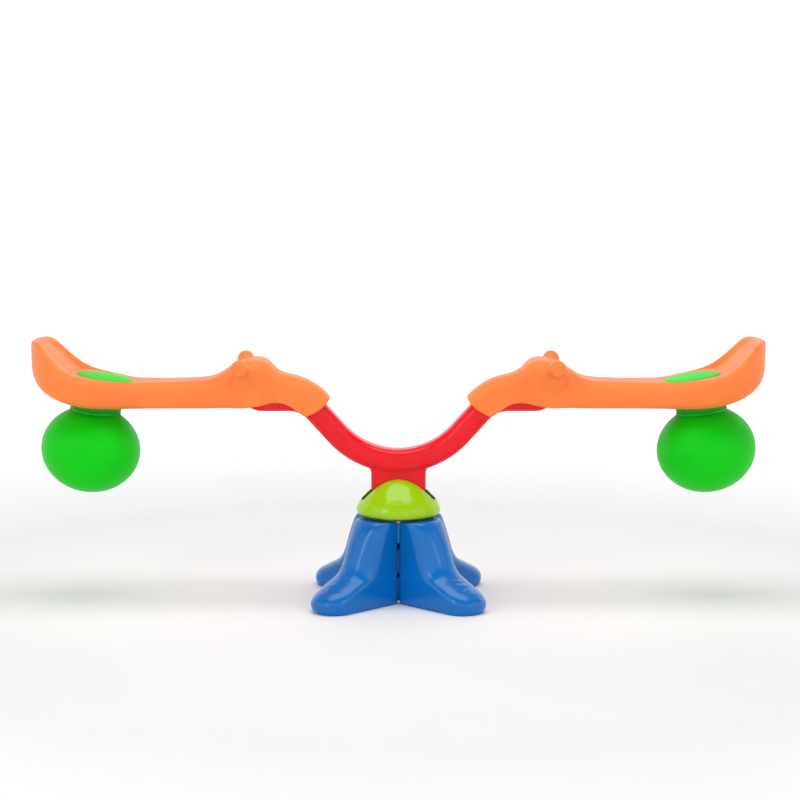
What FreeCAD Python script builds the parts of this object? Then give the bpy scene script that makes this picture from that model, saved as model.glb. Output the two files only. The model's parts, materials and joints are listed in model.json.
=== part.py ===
import FreeCAD, Part
import math
import os
import Sketcher

# Children's seesaw: four moulded feet carry a swivelling turret, and a curved beam tips in the turret.
# A moulded seat with hand grips sits on each beam end, with a bumper ball under it.
# Frame: millimetres, origin on the floor on the swivel axis, +X along the beam, +Z up.

Vector = FreeCAD.Vector
Rotation = FreeCAD.Rotation
Placement = FreeCAD.Placement

doc = FreeCAD.newDocument("seesaw")
sheet = doc.addObject("Spreadsheet::Sheet", "dims")

DIMENSIONS = {
    # heights on the swivel axis
    "pivot_height": 215, "swivel_deck": 158, "leg_top": 173, "dome_bottom": 177.5, "dome_peak": 258,
    # feet
    "leg_gap": 4.6, "well_radius": 34, "deck_radius": 63, "foot_screw_depth": 32,
    "tie_plate_size": 120, "tie_plate_thick": 4, "tie_recess": 7, "tie_screw_pitch": 84,
    "tie_screw_dia": 6, "tie_hole_depth": 20, "plate_play": 1,
    # swivel
    "hub_plate_radius": 62, "hub_plate_thick": 6, "hub_screw_circle": 48, "hub_screw_dia": 8,
    "hub_sink_depth": 3.5, "bush_bore": 16.1, "bush_outer": 22, "bush_flange": 34, "bush_flange_thick": 2,
    "thrust_radius": 58, "thrust_bore": 20, "thrust_thick": 3, "running_gap": 0.1,
    "swivel_bolt_dia": 16, "swivel_washer_radius": 15, "swivel_washer_thick": 2.5,
    # turret
    "yoke_radius": 61, "yoke_thick": 5, "ear_inner": 26, "ear_thick": 6, "ear_half_width": 21,
    "ear_foot": 29, "ear_shoulder": 4, "ear_top": 18, "ear_top_half_width": 12,
    "dome_radius": 86.5, "dome_wall": 4, "slot_half_length": 74, "slot_half_width": 24.5, "slot_bottom": 14,
    "dome_screw_circle": 52, "dome_boss_radius": 6, "dome_screw_dia": 4, "dome_screw_sink": 2,
    # tilt axle
    "axle_dia": 16, "axle_length": 92, "axle_bore": 16.1, "axle_chamfer": 1, "pivot_bush_outer": 24,
    "hub_radius": 24, "axle_washer_outer": 30, "axle_washer_thick": 3.8, "collar_ring_outer": 26,
    # beam
    "beam_width": 60, "beam_depth": 48, "beam_corner": 18, "beam_bottom_axis": 289,
    "arc_radius": 170, "slope_angle": 48, "shoulder_radius": 75, "beam_end": 345, "beam_end_axis": 416,
    "column_half_width": 56, "column_thick": 44, "column_shoulder": 231, "column_corner": 6,
    # seats
    "channel_clearance": 0.4, "rim_wall": 21, "rim_roll": 8, "bowl_corner": 14, "grip_dia": 35,
    "grip_x": 318, "grip_z": 488, "grip_reach": 113, "boss_radius": 29,
    "seat_bolt_inner": 238, "seat_bolt_outer": 272, "seat_bolt_dia": 8, "seat_bolt_length": 58,
    # seat disc
    "disc_x": 600, "disc_z": 461.3, "disc_radius": 58, "disc_edge": 3, "disc_crown": 10, "disc_tilt": 8.5,
    "disc_gap": 0.3,
    # bumper balls
    "ball_x": 631.5, "ball_z": 313, "ball_radius": 101, "ball_half_height": 89, "ball_tilt": 8,
    "ball_flat": 77, "collar_radius": 52, "collar_top": 102, "ball_bolt_dia": 12, "ball_bolt_seat": 128,
    "plug_radius": 20, "plug_depth": 34, "bolt_recess_radius": 17,
}
for row, (alias, number) in enumerate(DIMENSIONS.items(), start=1):
    sheet.set("A%d" % row, alias)
    sheet.set("B%d" % row, str(number))
    sheet.setAlias("B%d" % row, alias)
doc.recompute()

SIDES = {"right": 0, "left": 180}


# ---------------------------------------------------------------- document helpers

def value(alias):
    """Number held by one cell of the sheet."""
    return float(sheet.get(alias))


def evaluate(expression):
    """Value of an expression written with the sheet's aliases."""
    return float(sheet.evalExpression(expression.replace("dims.", "")))


def new_body(name):
    return doc.addObject("PartDesign::Body", name)


def new_sketch(body, role, offset="0"):
    """Sketch on one of the body's origin planes, moved along its normal."""
    sketch = body.newObject("Sketcher::SketchObject", "sketch")
    plane = [item for item in body.Origin.OriginFeatures if item.Role == role][0]
    sketch.AttachmentSupport = [(plane, "")]
    sketch.MapMode = "FlatFace"
    sketch.setExpression("AttachmentOffset.Base.z", offset)
    return sketch


def bind(sketch, constraint, expression):
    index = sketch.addConstraint(constraint)
    sketch.setExpression("Constraints[%d]" % index, expression)


def fix_point(sketch, geometry, position, x, y):
    """Hold a sketch point at expressions x and y from the origin."""
    for kind, axis, expression in (("DistanceX", -2, x), ("DistanceY", -1, y)):
        if expression == "0":
            sketch.addConstraint(Sketcher.Constraint("PointOnObject", geometry, position, axis))
        else:
            start = evaluate(expression)
            bind(sketch, Sketcher.Constraint(kind, -1, 1, geometry, position, start), expression)


def add_circle(sketch, radius, x="0", y="0"):
    centre = Vector(evaluate(x), evaluate(y), 0)
    index = sketch.addGeometry(Part.Circle(centre, Vector(0, 0, 1), evaluate(radius)))
    fix_point(sketch, index, 3, x, y)
    bind(sketch, Sketcher.Constraint("Radius", index, evaluate(radius)), radius)


def add_circle_ring(sketch, radius, circle, turns):
    """Equal circles at the given turns on a bolt circle."""
    for turn in turns:
        add_circle(sketch, radius, "%s * cos(%g)" % (circle, turn), "%s * sin(%g)" % (circle, turn))


def add_polygon(sketch, corners):
    """Closed outline of straight lines through corners given as expressions."""
    points = [Vector(evaluate(x), evaluate(y), 0) for x, y in corners]
    first = None
    for number, (x, y) in enumerate(corners):
        end = points[(number + 1) % len(points)]
        index = sketch.addGeometry(Part.LineSegment(points[number], end))
        first = index if first is None else first
        if number:
            sketch.addConstraint(Sketcher.Constraint("Coincident", index - 1, 2, index, 1))
        fix_point(sketch, index, 1, x, y)
    sketch.addConstraint(Sketcher.Constraint("Coincident", index, 2, first, 1))


def shape_feature(kind, body, sketch, length, symmetric, reverse):
    feature = body.newObject("PartDesign::" + kind, kind.lower())
    feature.Profile = sketch
    feature.SideType = "Symmetric" if symmetric else "One side"
    feature.Reversed = reverse
    feature.setExpression("Length", length)
    return feature


def pad(body, sketch, length, symmetric=False, reverse=False):
    return shape_feature("Pad", body, sketch, length, symmetric, reverse)


def pocket(body, sketch, length, symmetric=False, reverse=False):
    return shape_feature("Pocket", body, sketch, length, symmetric, reverse)


def turned(name, steps):
    """Body of revolution about its Z axis, from corners (radius, height) given as expressions."""
    body = new_body(name)
    sketch = new_sketch(body, "XZ_Plane")
    add_polygon(sketch, steps)
    feature = body.newObject("PartDesign::Revolution", "revolution")
    feature.Profile = sketch
    feature.ReferenceAxis = (sketch, ["V_Axis"])
    feature.Angle = 360
    return body


nodes = {}


def finish_node(name, item, placement=None):
    """Give a piece its node name and its place."""
    item.Label = name
    if placement is not None:
        item.Placement = placement
    nodes[name] = item
    return item


def part_feature(name, shape, placement=None):
    item = doc.addObject("Part::Feature", name)
    item.Shape = shape
    return finish_node(name, item, placement)


# ---------------------------------------------------------------- shape helpers

def spun(angle):
    """Turn about the swivel axis."""
    return Placement(Vector(0, 0, 0), Rotation(Vector(0, 0, 1), angle))


def upside_down(height):
    """Turn about X, so that what pointed up from zero points down from this height."""
    return Placement(Vector(0, 0, height), Rotation(Vector(1, 0, 0), 180))


def placed(shape, placement):
    moved = shape.copy()
    moved.Placement = placement
    return moved


def cylinder(radius, low, high, x=0, y=0):
    """Upright cylinder between two heights."""
    return Part.makeCylinder(radius, high - low, Vector(x, y, low))


def tube(inner, outer, low, high):
    return cylinder(outer, low, high).cut(cylinder(inner, low, high))


def curve_through(points):
    """Shape-keeping smooth curve y(x) through points sorted by x."""
    xs = [p[0] for p in points]
    ys = [p[1] for p in points]
    spans = [xs[i + 1] - xs[i] for i in range(len(xs) - 1)]
    slopes = [(ys[i + 1] - ys[i]) / spans[i] for i in range(len(spans))]
    tangents = [slopes[0]]
    for i in range(1, len(slopes)):
        if slopes[i - 1] * slopes[i] <= 0:
            tangents.append(0.0)
        else:
            before, after = 2 * spans[i] + spans[i - 1], spans[i] + 2 * spans[i - 1]
            tangents.append((before + after) / (before / slopes[i - 1] + after / slopes[i]))
    tangents.append(slopes[-1])

    def curve(x):
        i = max(n for n in range(len(spans)) if n == 0 or xs[n] <= x)
        u = (x - xs[i]) / spans[i]
        return ((2 * u**3 - 3 * u**2 + 1) * ys[i] + (u**3 - 2 * u**2 + u) * spans[i] * tangents[i]
                + (3 * u**2 - 2 * u**3) * ys[i + 1] + (u**3 - u**2) * spans[i] * tangents[i + 1])
    return curve


def section_wire(x, items):
    """Closed wire across the beam at x. An item is a corner (y, z), or an arc
    (centre y, centre z, radius, first angle, last angle); straight lines join them in turn."""
    pieces = []
    for item in items:
        if len(item) == 2:
            pieces.append((Vector(x, *item), Vector(x, *item), None))
            continue
        centre_y, centre_z, radius, first, last = item
        points = [Vector(x, centre_y + radius * math.cos(math.radians(turn)),
                         centre_z + radius * math.sin(math.radians(turn)))
                  for turn in (first, (first + last) / 2, last)]
        pieces.append((points[0], points[2], Part.Arc(*points).toShape()))
    edges = []
    for number, (start, end, arc) in enumerate(pieces):
        if arc:
            edges.append(arc)
        following = pieces[(number + 1) % len(pieces)][0]
        edges.append(Part.LineSegment(end, following).toShape())
    return Part.Wire(edges)


def rounded_box(x, half_width, low, high, corner_low, corner_high):
    """Rounded rectangle across the beam at x."""
    a, b = half_width - corner_low, half_width - corner_high
    c, d = low + corner_low, high - corner_high
    return section_wire(x, [(a, c, corner_low, -90, 0), (b, d, corner_high, 0, 90),
                            (-b, d, corner_high, 90, 180), (-a, c, corner_low, 180, 270)])


def side_block(edges, half_width):
    """Straight block across the beam from the edges of its side outline, drawn at y = 0."""
    face = Part.Face(Part.Wire(edges))
    face.translate(Vector(0, half_width, 0))
    return face.extrude(Vector(0, -2 * half_width, 0))


def side_lines(points):
    """Straight edges through side points (x, z)."""
    corners = [Vector(x, 0, z) for x, z in points]
    return [Part.LineSegment(a, b).toShape() for a, b in zip(corners, corners[1:])]


def side_curve(points):
    """Smooth edge through side points (x, z)."""
    curve = Part.BSplineCurve()
    curve.interpolate([Vector(x, 0, z) for x, z in points])
    return curve.toShape()


def screw_shape(head_radius, head_height, radius, length):
    """Screw on the Z axis with its head above z = 0, as one turned outline."""
    point = 0.8
    crown = 0.75 * head_radius
    outline = [(0, -length), (radius - point, -length), (radius, point - length), (radius, 0),
               (head_radius, 0), (head_radius, 0.6 * head_height), (crown, head_height), (0, head_height),
               (0, -length)]
    face = Part.Face(Part.makePolygon([Vector(r, 0, z) for r, z in outline]))
    return face.revolve(Vector(0, 0, 0), Vector(0, 0, 1), 360)


def screw_group(name, places, screw, placement=None):
    """Group of equal screws, each place being (x, y, underside height of the head)."""
    group = Part.makeCompound([screw.translated(Vector(*place)) for place in places])
    return part_feature(name, group, placement)


def ring_places(circle, turns, height):
    return [(circle * math.cos(math.radians(turn)), circle * math.sin(math.radians(turn)), height)
            for turn in turns]


def hexagon(across_flats, low, height):
    """Hexagonal prism on the Z axis, chamfered above."""
    radius = across_flats / math.sqrt(3)
    turns = [math.radians(60 * number) for number in range(7)]
    corners = [Vector(radius * math.cos(turn), radius * math.sin(turn), low) for turn in turns]
    prism = Part.Face(Part.makePolygon(corners)).extrude(Vector(0, 0, height))
    return prism.common(Part.makeCone(radius + 0.8 * height, 0.8 * radius, height, Vector(0, 0, low)))


# ---------------------------------------------------------------- feet

FOOT_TURNS = {"leg_front_left": 225, "leg_front_right": 315, "leg_rear_right": 45, "leg_rear_left": 135}

# Level slices of a foot: (height, reach of the ridge from the swivel axis, half width, nose depth).
FOOT_SLICES = [(0, 224, 42, 40), (10, 230, 45, 44), (22, 230, 46, 46), (34, 221, 46, 49),
               (46, 200, 46, 52), (56, 179, 46, 52), (66, 160, 45, 49), (87, 143, 44, 46),
               (112, 132, 44, 42), (136, 122, 44, 40), (156, 111, 45, 36), (168, 102, 45.5, 32),
               (173, 94, 44.5, 28)]
HUB_SCREW_TURNS = [22.5 + 45 * place for place in range(8)]
TIE_CORNERS = [(1, 1), (-1, 1), (-1, -1), (1, -1)]
DECK_TOP = "dims.swivel_deck + dims.hub_plate_thick"


def foot_slice(body, height, reach, half_width, nose):
    """Outline of a foot at one height: a square corner at the swivel axis and a rounded nose."""
    sketch = new_sketch(body, "XY_Plane", str(height))
    tip = value("leg_gap") / 2 * math.sqrt(2)
    corner = tip + half_width
    shoulder = reach - nose
    turns = [math.radians(angle) for angle in range(-90, 91, 15)]
    front = Part.BSplineCurve()
    front.interpolate([Vector(shoulder + nose * math.cos(turn), half_width * math.sin(turn), 0)
                       for turn in turns])
    sketch.addGeometry([Part.LineSegment(Vector(tip, 0, 0), Vector(corner, -half_width, 0)),
                        Part.LineSegment(Vector(corner, -half_width, 0), front.StartPoint),
                        front,
                        Part.LineSegment(front.EndPoint, Vector(corner, half_width, 0)),
                        Part.LineSegment(Vector(corner, half_width, 0), Vector(tip, 0, 0))])
    return sketch


def make_foot(name, angle):
    body = new_body(name)
    slices = [foot_slice(body, *numbers) for numbers in FOOT_SLICES]
    moulding = body.newObject("PartDesign::AdditiveLoft", "moulding")
    moulding.Profile = slices[0]
    moulding.Sections = slices[1:]
    # deck that takes the hub plate, and the central well round the swivel bolt's head
    deck = new_sketch(body, "XY_Plane", "dims.leg_top + 1")
    add_circle(deck, "dims.deck_radius")
    pocket(body, deck, "dims.leg_top + 1 - dims.swivel_deck")
    well = new_sketch(body, "XY_Plane")
    add_circle(well, "dims.well_radius")
    pocket(body, well, "dims.leg_top", reverse=True)
    # recess in the sole for the tie plate
    sole = new_sketch(body, "XY_Plane")
    half_diagonal = "(dims.tie_plate_size / 2 + dims.plate_play) * sqrt(2)"
    add_polygon(sole, [("-1 * " + half_diagonal, "0"), ("0", "-1 * " + half_diagonal),
                       (half_diagonal, "0"), ("0", half_diagonal)])
    pocket(body, sole, "dims.tie_recess", reverse=True)
    # screw holes, above and below
    deck_holes = new_sketch(body, "XY_Plane", "dims.swivel_deck")
    add_circle_ring(deck_holes, "dims.hub_screw_dia / 2", "dims.hub_screw_circle", (-22.5, 22.5))
    pocket(body, deck_holes, "dims.foot_screw_depth")
    sole_hole = new_sketch(body, "XY_Plane", "dims.tie_recess")
    add_circle(sole_hole, "dims.tie_screw_dia / 2", "dims.tie_screw_pitch / sqrt(2)")
    pocket(body, sole_hole, "dims.tie_hole_depth", reverse=True)
    finish_node(name, body, spun(angle))


for name, angle in FOOT_TURNS.items():
    make_foot(name, angle)


# ---------------------------------------------------------------- swivel, fixed to the feet

def make_hub_plate():
    body = new_body("hub_plate")
    plate = new_sketch(body, "XY_Plane", "dims.swivel_deck")
    add_circle(plate, "dims.hub_plate_radius")
    add_circle(plate, "dims.bush_outer / 2")
    pad(body, plate, "dims.hub_plate_thick")
    holes = new_sketch(body, "XY_Plane", "dims.swivel_deck")
    add_circle_ring(holes, "dims.hub_screw_dia / 2", "dims.hub_screw_circle", HUB_SCREW_TURNS)
    pocket(body, holes, "dims.hub_plate_thick", reverse=True)
    sinks = new_sketch(body, "XY_Plane", DECK_TOP)
    add_circle_ring(sinks, "dims.hub_screw_dia", "dims.hub_screw_circle", HUB_SCREW_TURNS)
    pocket(body, sinks, "dims.hub_sink_depth")
    finish_node("hub_plate", body)


def make_hub_screws():
    head_radius, head_height, length = value("hub_screw_dia") - 0.5, 3, 30
    screw = screw_shape(head_radius, head_height, value("hub_screw_dia") / 2 - 0.1, length)
    seat = value("swivel_deck") + value("hub_plate_thick") - value("hub_sink_depth")
    screw_group("hub_screws", ring_places(value("hub_screw_circle"), HUB_SCREW_TURNS, seat), screw)


def make_hub_bush():
    """Flanged bush pushed into the hub plate from below."""
    bore, body_radius, flange = "dims.bush_bore / 2", "dims.bush_outer / 2", "dims.bush_flange / 2"
    low = "dims.swivel_deck - dims.bush_flange_thick"
    finish_node("hub_bush", turned("hub_bush", [
        (bore, low), (flange, low), (flange, "dims.swivel_deck"), (body_radius, "dims.swivel_deck"),
        (body_radius, DECK_TOP), (bore, DECK_TOP)]))


def make_thrust_ring():
    top = DECK_TOP + " + dims.thrust_thick"
    finish_node("thrust_ring", turned("thrust_ring", [
        ("dims.thrust_bore", DECK_TOP), ("dims.thrust_radius", DECK_TOP),
        ("dims.thrust_radius", top), ("dims.thrust_bore", top)]))


def make_tie_plate():
    """Square plate under the feet that holds them together, with a hole for a spanner."""
    body = new_body("tie_plate")
    plate = new_sketch(body, "XY_Plane", "dims.tie_recess - dims.tie_plate_thick")
    add_polygon(plate, [("%d * dims.tie_plate_size / 2" % x, "%d * dims.tie_plate_size / 2" % y)
                        for x, y in TIE_CORNERS])
    add_circle(plate, "dims.well_radius - 4")
    for x, y in TIE_CORNERS:
        add_circle(plate, "dims.tie_screw_dia / 2 + 0.2",
                   "%d * dims.tie_screw_pitch / 2" % x, "%d * dims.tie_screw_pitch / 2" % y)
    pad(body, plate, "dims.tie_plate_thick")
    finish_node("tie_plate", body)


def make_tie_screws():
    head_radius, head_height, length = 5.5, 2.2, 20
    half_pitch = value("tie_screw_pitch") / 2
    screw = screw_shape(head_radius, head_height, value("tie_screw_dia") / 2 - 0.1, length)
    screw_group("tie_screws", [(half_pitch * x, half_pitch * y, 0) for x, y in TIE_CORNERS], screw,
                upside_down(value("tie_recess") - value("tie_plate_thick")))


make_hub_plate()
make_hub_screws()
make_hub_bush()
make_thrust_ring()
make_tie_plate()
make_tie_screws()

# ---------------------------------------------------------------- turret

YOKE_BASE = DECK_TOP + " + dims.thrust_thick + dims.running_gap"
YOKE_TOP = YOKE_BASE + " + dims.yoke_thick"
BOLT_BORE = "dims.swivel_bolt_dia / 2 + dims.running_gap"
DOME_SCREW_TURNS = (45, 135, 225, 315)
NUT_ACROSS_FLATS, NUT_HEIGHT, BOLT_HEAD_HEIGHT, BOLT_PROJECTION = 24, 10, 8, 2


def make_yoke():
    """Turntable plate with two upright ears that carry the tilt axle."""
    body = turned("turret_yoke", [(BOLT_BORE, YOKE_BASE), ("dims.yoke_radius", YOKE_BASE),
                                  ("dims.yoke_radius", YOKE_TOP), (BOLT_BORE, YOKE_TOP)])
    shoulder = "dims.pivot_height + dims.ear_shoulder"
    top = "dims.pivot_height + dims.ear_top"
    right_edge = [("dims.ear_foot", YOKE_TOP + " - 1"), ("dims.ear_half_width", shoulder),
                  ("dims.ear_top_half_width", top)]
    left_edge = [("-1 * " + x, z) for x, z in reversed(right_edge)]
    for side in ("1", "-1"):
        ear = new_sketch(body, "XZ_Plane", side + " * (dims.ear_inner + dims.ear_thick / 2)")
        add_polygon(ear, right_edge + left_edge)
        pad(body, ear, "dims.ear_thick", symmetric=True)
    bore = new_sketch(body, "XZ_Plane")
    add_circle(bore, "dims.axle_dia / 2", "0", "dims.pivot_height")
    pocket(body, bore, "2 * dims.yoke_radius", symmetric=True)
    holes = new_sketch(body, "XY_Plane", YOKE_TOP)
    add_circle_ring(holes, "dims.dome_screw_dia / 2 + 0.2", "dims.dome_screw_circle", DOME_SCREW_TURNS)
    pocket(body, holes, "dims.yoke_thick + 1")
    sinks = new_sketch(body, "XY_Plane", YOKE_BASE)
    add_circle_ring(sinks, "dims.dome_screw_dia - 0.2", "dims.dome_screw_circle", DOME_SCREW_TURNS)
    pocket(body, sinks, "dims.dome_screw_sink", reverse=True)
    finish_node("turret_yoke", body)


def make_swivel_bolt():
    """Bolt whose head turns under the hub bush, with its washer, and the nut that locks on the yoke."""
    top = "dims.swivel_deck - dims.bush_flange_thick - dims.running_gap"
    low = top + " - dims.swivel_washer_thick"
    finish_node("swivel_washer", turned("swivel_washer", [
        (BOLT_BORE, low), ("dims.swivel_washer_radius", low), ("dims.swivel_washer_radius", top),
        (BOLT_BORE, top)]))
    head_top, nut_seat = evaluate(low), evaluate(YOKE_TOP)
    radius = value("swivel_bolt_dia") / 2
    head = placed(hexagon(NUT_ACROSS_FLATS, 0, BOLT_HEAD_HEIGHT), upside_down(head_top))
    shank = cylinder(radius, head_top, nut_seat + NUT_HEIGHT + BOLT_PROJECTION)
    part_feature("swivel_bolt", shank.fuse(head).removeSplitter())
    nut = hexagon(NUT_ACROSS_FLATS, nut_seat, NUT_HEIGHT)
    part_feature("swivel_nut", nut.cut(cylinder(radius, nut_seat, nut_seat + NUT_HEIGHT)))


def bell(inset):
    """Solid of the dome's outline, moved inwards by the wall: rolled foot, then a bell-shaped crown."""
    radius, low, peak = value("dome_radius") - inset, value("dome_bottom"), value("dome_peak") - inset
    roll_width, roll_height = 9, 10
    rim = low + roll_height
    rise = peak - rim
    shares = [(1, 0), (0.975, 0.13), (0.88, 0.33), (0.66, 0.62), (0.44, 0.84), (0.22, 0.965), (0, 1)]
    foot = side_lines([(0, low), (radius - roll_width, low)])
    roll = Part.Arc(Vector(radius - roll_width, 0, low),
                    Vector(radius - 0.25 * roll_width, 0, low + 0.34 * roll_height), Vector(radius, 0, rim))
    crown = side_curve([(radius * across, rim + rise * up) for across, up in shares])
    axis = side_lines([(0, peak), (0, low)])
    face = Part.Face(Part.Wire(foot + [roll.toShape(), crown] + axis))
    return face.revolve(Vector(0, 0, 0), Vector(0, 0, 1), 360)


def make_dome():
    """Bell-shaped shell, open below, slotted across the top for the beam's column, on four screw bosses."""
    wall, low, radius = value("dome_wall"), value("dome_bottom"), value("dome_radius")
    inner_foot = radius - 9 - wall
    shell = bell(0).cut(bell(wall)).cut(cylinder(inner_foot, low - 1, low + 15))
    outside = cylinder(radius + 1, low, value("dome_peak") + 1).cut(bell(wall / 2))
    bosses = []
    for x, y, z in ring_places(value("dome_screw_circle"), DOME_SCREW_TURNS, evaluate(YOKE_TOP)):
        boss = cylinder(value("dome_boss_radius"), z, value("dome_peak"), x, y)
        pilot = cylinder(value("dome_screw_dia") / 2, z, z + 18, x, y)
        bosses.append(boss.cut([outside, pilot]))
    half_length, half_width = value("slot_half_length"), value("slot_half_width")
    slot = Part.makeBox(2 * half_length, 2 * half_width, value("dome_peak") - low,
                        Vector(-half_length, -half_width, low + value("slot_bottom")))
    upright = [edge for edge in slot.Edges if abs(edge.tangentAt(edge.FirstParameter).z) > 0.9]
    shell = shell.fuse(bosses).cut(slot.makeFillet(8, upright))
    part_feature("turret_dome", shell.removeSplitter())


def make_dome_screws():
    head_radius, head_height, length = 3.4, 1.8, 18
    screw = screw_shape(head_radius, head_height, value("dome_screw_dia") / 2, length)
    screw_group("dome_screws", ring_places(value("dome_screw_circle"), DOME_SCREW_TURNS, 0), screw,
                upside_down(evaluate(YOKE_BASE) + value("dome_screw_sink")))


# the tilt axle's own axis is turned to lie along Y
AXLE_PLACE = Placement(Vector(0, 0, value("pivot_height")), Rotation(Vector(1, 0, 0), 90))


def mirrored_rings(inner, outer, low, high):
    """Two equal flat rings, one on each side of the beam's column."""
    return Part.makeCompound([tube(inner, outer, low, high), tube(inner, outer, -high, -low)])


def make_axle():
    radius, half = "dims.axle_dia / 2", "dims.axle_length / 2"
    narrow, short = radius + " - dims.axle_chamfer", half + " - dims.axle_chamfer"
    upper = [(radius, short), (narrow, half), ("0", half)]
    lower = [("0", "-1 * " + half), (narrow, "-1 * " + half), (radius, "-1 * (%s)" % short)]
    finish_node("pivot_axle", turned("pivot_axle", lower + upper), AXLE_PLACE)
    ear_outer = value("ear_inner") + value("ear_thick")
    collars = mirrored_rings(value("axle_dia") / 2, value("collar_ring_outer") / 2, ear_outer, ear_outer + 3)
    part_feature("axle_collars", collars, AXLE_PLACE)


make_yoke()
make_swivel_bolt()
make_dome()
make_dome_screws()
make_axle()

# ---------------------------------------------------------------- beam

COLUMN_HALF = value("column_thick") / 2
BEAM_LOW = value("beam_end_axis") - value("beam_depth") / 2
SEAT_BOLTS = (value("seat_bolt_inner"), value("seat_bolt_outer"))
BOLT_SINK_RADIUS, BOLT_SINK_DEPTH = 9.5, 10


def beam_route():
    """Right half of the beam's centreline: valley arc, slope, shoulder arc, level end."""
    slope = math.radians(value("slope_angle"))
    low, arc, shoulder = value("beam_bottom_axis"), value("arc_radius"), value("shoulder_radius")
    top = value("beam_end_axis")

    def on_valley(turn):
        return Vector(arc * math.sin(turn), 0, low + arc * (1 - math.cos(turn)))

    slope_start = on_valley(slope)
    slope_end_z = top - shoulder * (1 - math.cos(slope))
    slope_end = Vector(slope_start.x + (slope_end_z - slope_start.z) / math.tan(slope), 0, slope_end_z)
    level_x = slope_end.x + shoulder * math.sin(slope)

    def on_shoulder(turn):
        return Vector(level_x - shoulder * math.sin(turn), 0, top - shoulder * (1 - math.cos(turn)))

    return Part.Wire([Part.Arc(on_valley(0), on_valley(slope / 2), slope_start).toShape(),
                      Part.LineSegment(slope_start, slope_end).toShape(),
                      Part.Arc(slope_end, on_shoulder(slope / 2), on_shoulder(0)).toShape(),
                      Part.LineSegment(on_shoulder(0), Vector(value("beam_end"), 0, top)).toShape()])


def beam_sweep(clearance):
    """Right half of the beam's tube, grown by a clearance."""
    half_depth = value("beam_depth") / 2 + clearance
    corner = value("beam_corner") + clearance
    axis = value("beam_bottom_axis")
    section = rounded_box(0, value("beam_width") / 2 + clearance, axis - half_depth, axis + half_depth,
                          corner, corner)
    return beam_route().makePipeShell([section], True, False)


def beam_tube():
    """Both halves of the tube, each end shaved below so that it hides in its seat."""
    right = beam_sweep(0)
    start, run, rise = 285, 33, 16
    shave = side_lines([(start, BEAM_LOW), (start + run, BEAM_LOW + rise), (start + 90, BEAM_LOW + rise),
                        (start + 90, BEAM_LOW - 20), (start, BEAM_LOW - 20), (start, BEAM_LOW)])
    right = right.cut(side_block(shave, 50))
    return right.fuse(right.mirror(Vector(0, 0, 0), Vector(1, 0, 0))).removeSplitter()


def column_shape():
    """Flat column that hangs in the turret: square shoulders above, narrowing to the pivot's hub."""
    half, hub, pivot = value("column_half_width"), value("hub_radius"), value("pivot_height")
    shoulder, top = value("column_shoulder"), value("beam_bottom_axis") - 4
    tangent = (0.86 * hub, pivot - 0.5 * hub)
    right_edge = [tangent, (half, shoulder), (half, top)]
    left_edge = [(-x, z) for x, z in reversed(right_edge)]
    column = side_block(side_lines(right_edge + left_edge + right_edge[:1]), COLUMN_HALF)
    outer = [edge for edge in column.Edges
             if edge.BoundBox.XLength < 0.1 and edge.BoundBox.YLength < 0.1 and abs(edge.BoundBox.XMin) > hub]
    column = column.makeFillet(value("column_corner"), outer)
    return column.fuse(placed(cylinder(hub, -COLUMN_HALF, COLUMN_HALF), AXLE_PLACE)).removeSplitter()


def make_beam():
    bore = placed(cylinder(value("pivot_bush_outer") / 2, -COLUMN_HALF - 1, COLUMN_HALF + 1), AXLE_PLACE)
    beam = beam_tube().fuse(column_shape()).cut(bore).removeSplitter()
    for x in SEAT_BOLTS:
        for place in (x, -x):
            sink = cylinder(BOLT_SINK_RADIUS, BEAM_LOW, BEAM_LOW + BOLT_SINK_DEPTH, place)
            hole = cylinder(value("seat_bolt_dia") / 2, BEAM_LOW, value("beam_end_axis") + 40, place)
            beam = beam.cut([sink, hole])
    part_feature("centre_beam", beam)
    bore_radius = value("axle_bore") / 2
    spacers = mirrored_rings(bore_radius, value("axle_washer_outer") / 2,
                             COLUMN_HALF, COLUMN_HALF + value("axle_washer_thick"))
    part_feature("column_spacers", spacers, AXLE_PLACE)
    bush = tube(bore_radius, value("pivot_bush_outer") / 2, -COLUMN_HALF, COLUMN_HALF)
    part_feature("pivot_bush", bush, AXLE_PLACE)


make_beam()

# ---------------------------------------------------------------- seats

# Side outline of a seat, (distance from the swivel axis, height), and its plan, (distance, half width).
SEAT_TOP = curve_through([(140, 419), (150, 431), (163, 441.5), (190, 457), (221, 467), (239, 472),
                          (250, 479), (261, 490), (272, 497), (290, 500), (312, 496), (343, 483), (371, 465),
                          (412, 457), (481, 455), (532, 455), (577, 460), (632, 469), (655, 478), (680, 496),
                          (700, 517), (714, 532), (725, 538), (736, 538.5), (744, 537)])
SEAT_WIDTH = curve_through([(140, 34), (150, 38), (190, 41), (244, 42), (258, 47), (272, 58), (290, 63),
                            (316, 63), (336, 58), (370, 59), (420, 61), (500, 63), (540, 70), (580, 88),
                            (620, 107), (650, 116), (668, 118)])
BUCKET_CENTRE, BUCKET_LENGTH, BUCKET_HALF = 668, 78, 118
TRUNK_STATIONS = [140, 150, 170, 190, 212, 234, 246, 258, 272, 290, 312, 336, 371]
SADDLE_STATIONS = [412, 470, 515, 545, 577, 605, 632, 655, 672, 690, 705, 716, 726, 734, 740, 743.5]
SADDLE_START = 520
UNDERSIDE = 402
UNDERSIDE_START, UNDERSIDE_RUN, UNDERSIDE_RISE = 560, 190, 87

# Plan of the bucket's hollow ahead of its widest place, (distance, half width), and the stations behind it.
BOWL_WIDTH = curve_through([(528, 14), (536, 30), (548, 47), (565, 60), (590, 74), (620, 87), (650, 95),
                            (668, 97)])
BOWL_STATIONS = [528, 536, 543, 555, 570, 590, 610, 630, 648, 659, 668]
BOWL_BACK_TURNS = (22, 40, 54, 65, 74, 80)


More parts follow.
